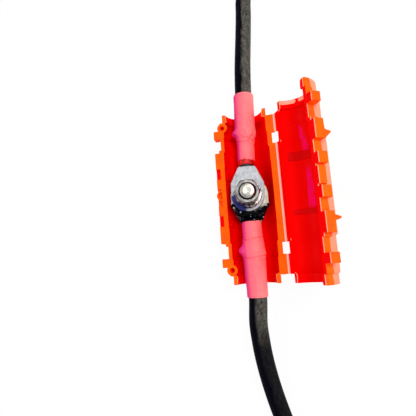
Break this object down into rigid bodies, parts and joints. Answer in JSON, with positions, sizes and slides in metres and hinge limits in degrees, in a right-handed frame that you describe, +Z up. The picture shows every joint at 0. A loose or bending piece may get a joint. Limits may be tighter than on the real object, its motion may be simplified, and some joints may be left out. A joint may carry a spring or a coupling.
{
  "type": "genderless power connector",
  "caption": "Hinged clamshell insulating cover, lying open around ring lugs bolted face to face, which join heavy cables under heat-shrink sleeves.",
  "frame": {"origin": "on the surface that the cover's lower half lies on, under the middle of the open cover's width and length", "axes": "+Y along the cables, +X from the lower half towards the hinge and the lid, +Z up"},
  "size_m": [0.1618, 0.4012, 0.053],
  "materials": {
    "cover_red": "moulded polypropylene, satin gloss",
    "coral_shrink": "shrunk polyolefin sleeve, soft satin",
    "cable_jacket": "scuffed rubber jacket",
    "tinned_copper": "tin plated, satin",
    "bare_copper": "stranded bare conductor",
    "zinc_steel": "zinc plated, worn"
  },
  "bodies": {
    "cover": {"cover_base": "cover_red", "hex_bolt": "zinc_steel", "flat_washer": "zinc_steel", "spring_washer": "zinc_steel", "hex_nut": "zinc_steel", "upper_lug": "tinned_copper", "lower_lug": "tinned_copper", "upper_end_lug": "tinned_copper", "lower_end_lug": "tinned_copper", "upper_core": "bare_copper", "lower_core": "bare_copper", "upper_end_core": "bare_copper", "lower_end_core": "bare_copper", "upper_sleeve": "coral_shrink", "lower_sleeve": "coral_shrink", "upper_end_sleeve": "coral_shrink", "lower_end_sleeve": "coral_shrink", "upper_cable": "cable_jacket", "lower_cable": "cable_jacket"},
    "lid": {"cover_lid": "cover_red"}
  },
  "joints": [
    {"name": "lid_hinge", "type": "hinge", "parent": "cover", "child": "lid", "pos_m": [0.0059, 0, 0.0179], "axis": [0, -1, 0], "range_deg": [-58, 122]}
  ]
}
